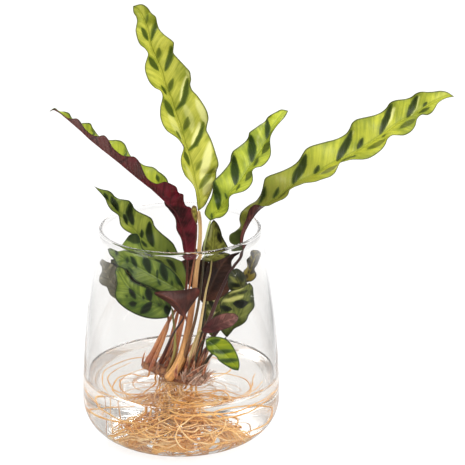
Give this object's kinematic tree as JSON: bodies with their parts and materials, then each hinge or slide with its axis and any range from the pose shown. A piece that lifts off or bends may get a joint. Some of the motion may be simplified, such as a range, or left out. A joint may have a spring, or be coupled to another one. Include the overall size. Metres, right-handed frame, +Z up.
{
  "type": "potted rattlesnake plant in a glass vase of water",
  "caption": "Rattlesnake plant with long wavy patterned leaves, growing in a clear glass vase of water that shows its rhizome and roots.",
  "frame": {"origin": "centre of the glass vase's flat base, on the surface it stands on", "axes": "+Z up along the vase's axis; +X to the right, towards the long right leaf; -Y is the plant's front"},
  "size_m": [0.3358, 0.17, 0.368],
  "materials": {
    "glass": "polished",
    "water": "polished",
    "leaf_green": "satin",
    "leaf_dark": "satin",
    "leaf_maroon": "satin",
    "stem": "satin",
    "stem_green": "satin",
    "rhizome": "matte",
    "root": "satin",
    "dry_scale": "matte"
  },
  "bodies": {
    "root": {"glass_vase": "glass", "water": "water", "rhizome": "rhizome", "root_1": "root", "root_2": "root", "root_3": "root", "root_4": "root", "root_5": "root", "root_6": "root", "root_7": "root", "root_8": "root", "root_9": "root", "root_10": "root", "stem_tall": "stem", "stem_short_right": "stem_green", "stem_long_right": "stem", "stem_long_left": "stem", "stem_left": "stem", "stem_inner_left": "stem", "stem_low_left": "stem_green", "stem_grey_left": "stem", "stem_folded": "stem", "stem_maroon_right": "stem", "stem_olive_right": "stem", "stem_dark_upper": "stem", "stem_dark_lower": "stem", "stem_pink": "stem", "stem_small_striped": "stem_green", "stem_rim_back": "stem_green", "stem_young": "stem_green", "stem_back_centre": "stem", "stem_back_lower": "stem", "stem_back_left": "stem", "leaf_tall": "leaf_green", "leaf_short_right": "leaf_green", "leaf_long_right": "leaf_green", "leaf_long_left": "leaf_maroon", "leaf_left": "leaf_dark", "leaf_inner_left": "leaf_dark", "leaf_low_left": "leaf_dark", "leaf_grey_left": "leaf_maroon", "leaf_folded": "leaf_maroon", "leaf_maroon_right": "leaf_maroon", "leaf_olive_right": "leaf_dark", "leaf_dark_upper": "leaf_dark", "leaf_dark_lower": "leaf_dark", "leaf_pink": "leaf_maroon", "leaf_small_striped": "leaf_green", "leaf_rim_back": "leaf_dark", "leaf_young": "leaf_dark", "leaf_back_centre": "leaf_maroon", "leaf_back_lower": "leaf_dark", "leaf_back_left": "leaf_dark", "dry_scale_front": "dry_scale", "dry_scale_right": "dry_scale", "dry_scale_middle": "dry_scale", "dry_scale_left": "dry_scale"}
  },
  "joints": []
}
